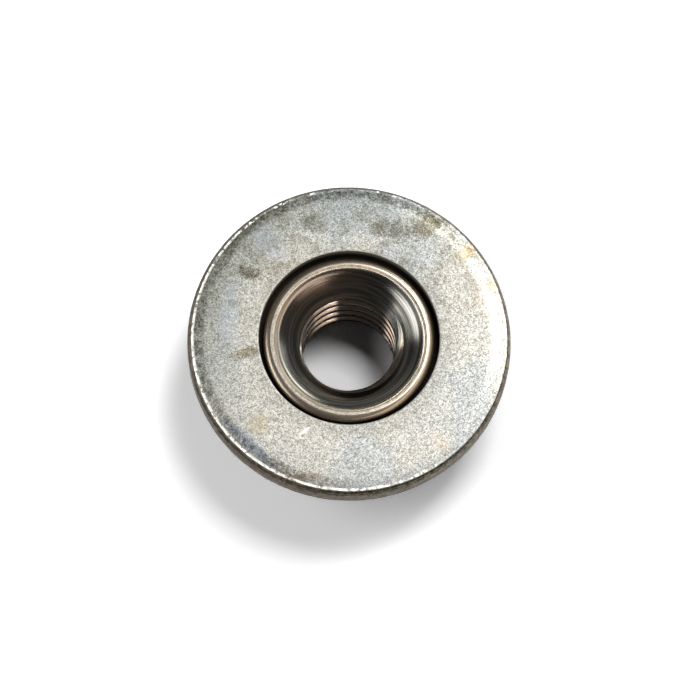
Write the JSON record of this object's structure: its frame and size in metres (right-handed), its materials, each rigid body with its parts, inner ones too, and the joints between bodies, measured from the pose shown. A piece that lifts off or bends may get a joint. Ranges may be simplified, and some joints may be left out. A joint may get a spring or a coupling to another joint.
{
  "type": "hex flange nut with captive washer",
  "caption": "Hexagon nut whose flange is a separate thick flat washer, held on by the nut's flared collar and free to turn, with a countersunk threaded bore.",
  "frame": {"origin": "centre of the hexagon's end face, on which the nut stands", "axes": "+Z along the thread axis, from the hexagon's end face to the washer's bearing face; X through two opposite corners of the hexagon"},
  "size_m": [0.028, 0.028, 0.0095],
  "materials": {
    "turned_steel": "turned, bright, with fine tool lines",
    "plated_steel": "tumbled and zinc plated, finely speckled, stained in places"
  },
  "bodies": {
    "nut": {"hex_nut": "turned_steel"},
    "washer": {"captive_washer": "plated_steel"}
  },
  "joints": [
    {"name": "washer_spin", "type": "hinge", "parent": "nut", "child": "washer", "pos_m": [0, 0, 0.007], "axis": [0, 0, 1], "continuous": true}
  ]
}
